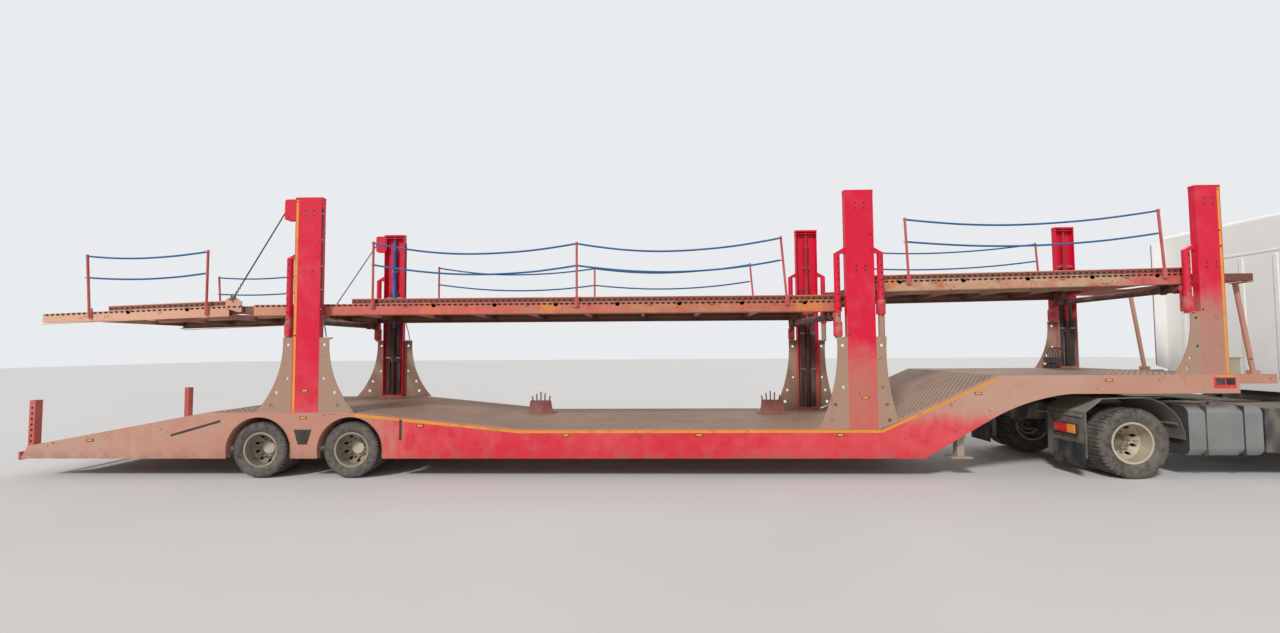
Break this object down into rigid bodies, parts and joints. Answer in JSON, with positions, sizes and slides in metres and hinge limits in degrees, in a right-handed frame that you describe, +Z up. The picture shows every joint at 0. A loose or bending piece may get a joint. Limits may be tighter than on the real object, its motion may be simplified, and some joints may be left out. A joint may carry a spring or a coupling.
{
  "type": "articulated car transporter lorry",
  "caption": "Articulated car transporter: low two-deck semi-trailer with tall lift posts, hinged at its kingpin to a white cab-over tractor.",
  "frame": {"origin": "centre of the bounding box on the ground", "axes": "+X forward to the cab, +Y to the vehicle's left, +Z up"},
  "size_m": [21.6, 2.5, 4.21],
  "materials": {
    "trailer_paint": "faded red paint, dusty",
    "post_paint": "red paint",
    "deck_steel": "worn dusty steel grid",
    "upper_deck_paint": "faded red paint",
    "bare_steel": "dull steel",
    "cylinder_paint": "blue paint",
    "running_gear": "dusty dark paint",
    "tyre_rubber": "dusty rubber",
    "rim_paint": "dusty pale paint",
    "chassis_paint": "dark paint",
    "guard_plastic": "dark plastic",
    "tank_metal": "grey, dull",
    "cab_paint": "white gloss paint",
    "cab_glass": "tinted glass",
    "interior_trim": "dark trim"
  },
  "bodies": {
    "trailer": {"side_beams": "trailer_paint", "car_floor": "deck_steel", "floor_cross_members": "trailer_paint", "long_beams": "trailer_paint", "nose_frame": "trailer_paint", "tail_frame": "trailer_paint", "rear_posts": "post_paint", "mid_posts": "post_paint", "front_posts": "post_paint", "lift_cylinders": "cylinder_paint", "lift_cables": "bare_steel", "landing_legs": "running_gear", "trailer_axles": "running_gear"},
    "main_lift": {"rear_lift_beam": "post_paint"},
    "upper_main_deck": {"main_deck": "upper_deck_paint", "main_cross_members": "upper_deck_paint", "main_stanchions": "upper_deck_paint"},
    "mid_lift": {"main_lift_beam": "post_paint"},
    "upper_tail_deck": {"tail_deck": "upper_deck_paint", "tail_cross_members": "upper_deck_paint", "tail_stanchions": "upper_deck_paint"},
    "fore_lift": {"fore_lift_beam": "post_paint"},
    "upper_front_deck": {"front_deck": "upper_deck_paint", "front_cross_members": "upper_deck_paint", "front_stanchions": "upper_deck_paint"},
    "front_lift": {"front_lift_beam": "post_paint"},
    "tractor": {"chassis": "chassis_paint", "chassis_cross_members": "chassis_paint", "fifth_wheel": "bare_steel", "tractor_axles": "chassis_paint", "mudguards": "guard_plastic", "fuel_tank": "tank_metal", "side_lockers": "guard_plastic", "engine": "chassis_paint", "bumper": "guard_plastic"},
    "cab": {"cab_shell": "cab_paint", "windscreen": "cab_glass", "cab_interior": "interior_trim"},
    "left_door": {"door_left": "cab_paint", "door_glass_left": "cab_glass"},
    "right_door": {"door_right": "cab_paint", "door_glass_right": "cab_glass"},
    "left_knuckle": {"knuckle_left": "chassis_paint"},
    "right_knuckle": {"knuckle_right": "chassis_paint"},
    "rear_wheels_left": {"rear_tyres_left": "tyre_rubber", "rear_rims_left": "rim_paint"},
    "rear_wheels_right": {"rear_tyres_right": "tyre_rubber", "rear_rims_right": "rim_paint"},
    "fore_wheels_left": {"fore_tyres_left": "tyre_rubber", "fore_rims_left": "rim_paint"},
    "fore_wheels_right": {"fore_tyres_right": "tyre_rubber", "fore_rims_right": "rim_paint"},
    "drive_wheels_left": {"drive_tyres_left": "tyre_rubber", "drive_rims_left": "rim_paint"},
    "drive_wheels_right": {"drive_tyres_right": "tyre_rubber", "drive_rims_right": "rim_paint"},
    "steer_wheel_left": {"steer_tyre_left": "tyre_rubber", "steer_rim_left": "rim_paint"},
    "steer_wheel_right": {"steer_tyre_right": "tyre_rubber", "steer_rim_right": "rim_paint"}
  },
  "joints": [
    {"name": "fifth_wheel_turn", "type": "hinge", "parent": "trailer", "child": "tractor", "pos_m": [6.12, 0, 1.2], "axis": [0, 0, 1], "range_deg": [-90, 90]},
    {"name": "main_deck_lift", "type": "slide", "parent": "trailer", "child": "main_lift", "axis": [0, 0, 1], "range_m": [0, 0.45], "deforming": ["lift_cables"]},
    {"name": "main_deck_tilt", "type": "hinge", "parent": "main_lift", "child": "upper_main_deck", "pos_m": [-6.75, 0, 2.365], "axis": [0, 1, 0], "range_deg": [-2.8, 0], "deforming": ["lift_cables"]},
    {"name": "mid_beam_lift", "type": "slide", "parent": "main_lift", "child": "mid_lift", "axis": [0, 0, 1], "range_m": [0, 0.405]},
    {"name": "tail_deck_tilt", "type": "hinge", "parent": "upper_main_deck", "child": "upper_tail_deck", "pos_m": [-7.57, 0, 2.52], "axis": [0, 1, 0], "range_deg": [-10, 12]},
    {"name": "fore_deck_lift", "type": "slide", "parent": "trailer", "child": "fore_lift", "axis": [0, 0, 1], "range_m": [0, 0.5]},
    {"name": "front_deck_tilt", "type": "hinge", "parent": "fore_lift", "child": "upper_front_deck", "pos_m": [6.46, 0, 2.725], "axis": [0, 1, 0], "range_deg": [-3.9, 0]},
    {"name": "front_beam_lift", "type": "slide", "parent": "fore_lift", "child": "front_lift", "axis": [0, 0, 1], "range_m": [-0.3, 0]},
    {"name": "rear_wheels_left_roll", "type": "hinge", "parent": "trailer", "child": "rear_wheels_left", "pos_m": [-7.13, 1.1025, 0.419], "axis": [0, 1, 0], "continuous": true},
    {"name": "rear_wheels_right_roll", "type": "hinge", "parent": "trailer", "child": "rear_wheels_right", "pos_m": [-7.13, -1.1025, 0.419], "axis": [0, 1, 0], "continuous": true},
    {"name": "fore_wheels_left_roll", "type": "hinge", "parent": "trailer", "child": "fore_wheels_left", "pos_m": [-5.75, 1.1025, 0.419], "axis": [0, 1, 0], "continuous": true},
    {"name": "fore_wheels_right_roll", "type": "hinge", "parent": "trailer", "child": "fore_wheels_right", "pos_m": [-5.75, -1.1025, 0.419], "axis": [0, 1, 0], "continuous": true},
    {"name": "drive_wheels_left_roll", "type": "hinge", "parent": "tractor", "child": "drive_wheels_left", "pos_m": [5.57, 1.0825, 0.507], "axis": [0, 1, 0], "continuous": true},
    {"name": "drive_wheels_right_roll", "type": "hinge", "parent": "tractor", "child": "drive_wheels_right", "pos_m": [5.57, -1.0825, 0.507], "axis": [0, 1, 0], "continuous": true},
    {"name": "steer_left", "type": "hinge", "parent": "tractor", "child": "left_knuckle", "pos_m": [9.42, 0.8525, 0.507], "axis": [0, 0, 1], "range_deg": [-35, 35]},
    {"name": "steer_right", "type": "hinge", "parent": "tractor", "child": "right_knuckle", "pos_m": [9.42, -0.8525, 0.507], "axis": [0, 0, 1], "range_deg": [-35, 35]},
    {"name": "steer_wheel_left_roll", "type": "hinge", "parent": "left_knuckle", "child": "steer_wheel_left", "pos_m": [9.42, 1.0825, 0.507], "axis": [0, 1, 0], "continuous": true},
    {"name": "steer_wheel_right_roll", "type": "hinge", "parent": "right_knuckle", "child": "steer_wheel_right", "pos_m": [9.42, -1.0825, 0.507], "axis": [0, 1, 0], "continuous": true},
    {"name": "cab_tilt", "type": "hinge", "parent": "tractor", "child": "cab", "pos_m": [10.738, 0, 1.172], "axis": [0, 1, 0], "range_deg": [0, 60]},
    {"name": "left_door_swing", "type": "hinge", "parent": "cab", "child": "left_door", "pos_m": [10.464, 1.2066, 1.75], "axis": [0, 0, -1], "range_deg": [0, 70]},
    {"name": "right_door_swing", "type": "hinge", "parent": "cab", "child": "right_door", "pos_m": [10.464, -1.2066, 1.75], "axis": [0, 0, 1], "range_deg": [0, 70]}
  ],
  "couplings": [
    {"joint": "mid_beam_lift", "follows": "main_deck_tilt", "m_per_rad": -8.209},
    {"joint": "front_beam_lift", "follows": "front_deck_tilt", "m_per_rad": 4.379},
    {"joint": "steer_right", "follows": "steer_left", "ratio": 1}
  ]
}
